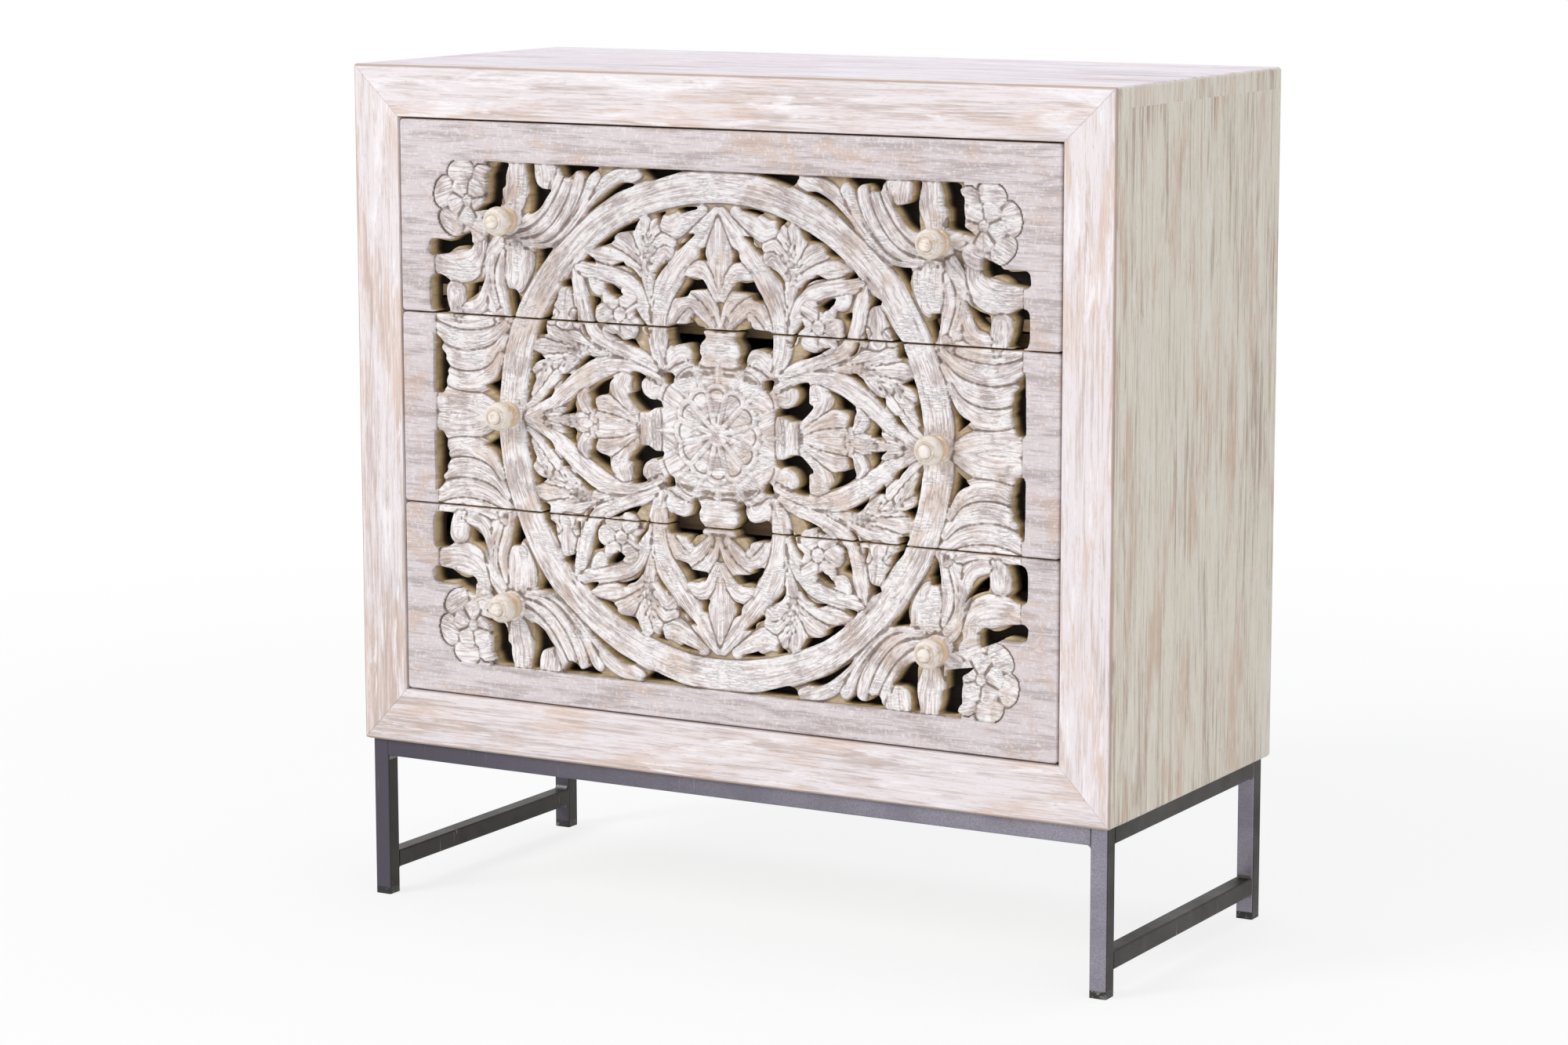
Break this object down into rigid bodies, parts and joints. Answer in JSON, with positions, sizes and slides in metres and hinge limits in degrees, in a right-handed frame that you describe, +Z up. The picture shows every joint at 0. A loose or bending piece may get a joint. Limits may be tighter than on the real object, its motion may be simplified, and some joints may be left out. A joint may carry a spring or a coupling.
{
  "type": "chest of drawers",
  "caption": "Free-standing wooden chest with sliding drawers, pierced and carved fronts with a round rosette pattern, turned knobs and a square steel tube base.",
  "frame": {"origin": "middle of the footprint on the floor, knobs included", "axes": "+Z up, -Y out of the drawer fronts, +X to the viewer's right when facing the drawers"},
  "size_m": [0.9, 0.4332, 0.91],
  "materials": {
    "washed_wood": "whitewashed, worn, satin",
    "carved_wood": "whitewashed hand carving, matt",
    "stained_board": "dark stain, matt",
    "bare_wood": "sanded, unpainted",
    "knob_wood": "cream wash, rubbed",
    "black_steel": "dark gunmetal powder coat",
    "cap_plastic": "moulded, matt",
    "zinc_screw": "zinc plated"
  },
  "bodies": {
    "cabinet": {"frame_left_stile": "washed_wood", "frame_right_stile": "washed_wood", "frame_top_rail": "washed_wood", "frame_bottom_rail": "washed_wood", "top_board": "washed_wood", "bottom_board": "washed_wood", "left_side_board": "washed_wood", "right_side_board": "washed_wood", "back_panel": "stained_board", "back_panel_screws": "zinc_screw", "base_screws": "zinc_screw", "divider_rail_1": "bare_wood", "divider_rail_2": "bare_wood", "runner_1_left": "bare_wood", "runner_1_right": "bare_wood", "runner_2_left": "bare_wood", "runner_2_right": "bare_wood", "runner_3_left": "bare_wood", "runner_3_right": "bare_wood", "leg_front_left": "black_steel", "leg_front_right": "black_steel", "leg_back_left": "black_steel", "leg_back_right": "black_steel", "base_front_rail": "black_steel", "base_back_rail": "black_steel", "base_left_rail": "black_steel", "base_right_rail": "black_steel", "base_left_stretcher": "black_steel", "base_right_stretcher": "black_steel", "weld_beads": "black_steel", "mounting_tabs": "black_steel", "foot_caps": "cap_plastic"},
    "drawer_1": {"drawer_1_carved_front": "carved_wood", "drawer_1_box_left_side": "bare_wood", "drawer_1_box_right_side": "bare_wood", "drawer_1_box_back": "bare_wood", "drawer_1_box_bottom": "bare_wood", "drawer_1_backing_board": "stained_board", "drawer_1_left_knob": "knob_wood", "drawer_1_right_knob": "knob_wood", "drawer_1_knob_screws": "zinc_screw"},
    "drawer_2": {"drawer_2_carved_front": "carved_wood", "drawer_2_box_left_side": "bare_wood", "drawer_2_box_right_side": "bare_wood", "drawer_2_box_back": "bare_wood", "drawer_2_box_bottom": "bare_wood", "drawer_2_backing_board": "stained_board", "drawer_2_left_knob": "knob_wood", "drawer_2_right_knob": "knob_wood", "drawer_2_knob_screws": "zinc_screw"},
    "drawer_3": {"drawer_3_carved_front": "carved_wood", "drawer_3_box_left_side": "bare_wood", "drawer_3_box_right_side": "bare_wood", "drawer_3_box_back": "bare_wood", "drawer_3_box_bottom": "bare_wood", "drawer_3_backing_board": "stained_board", "drawer_3_left_knob": "knob_wood", "drawer_3_right_knob": "knob_wood", "drawer_3_knob_screws": "zinc_screw"}
  },
  "joints": [
    {"name": "drawer_1_slide", "type": "slide", "parent": "cabinet", "child": "drawer_1", "axis": [0, -1, 0], "range_m": [0, 0.28]},
    {"name": "drawer_2_slide", "type": "slide", "parent": "cabinet", "child": "drawer_2", "axis": [0, -1, 0], "range_m": [0, 0.28]},
    {"name": "drawer_3_slide", "type": "slide", "parent": "cabinet", "child": "drawer_3", "axis": [0, -1, 0], "range_m": [0, 0.28]}
  ]
}
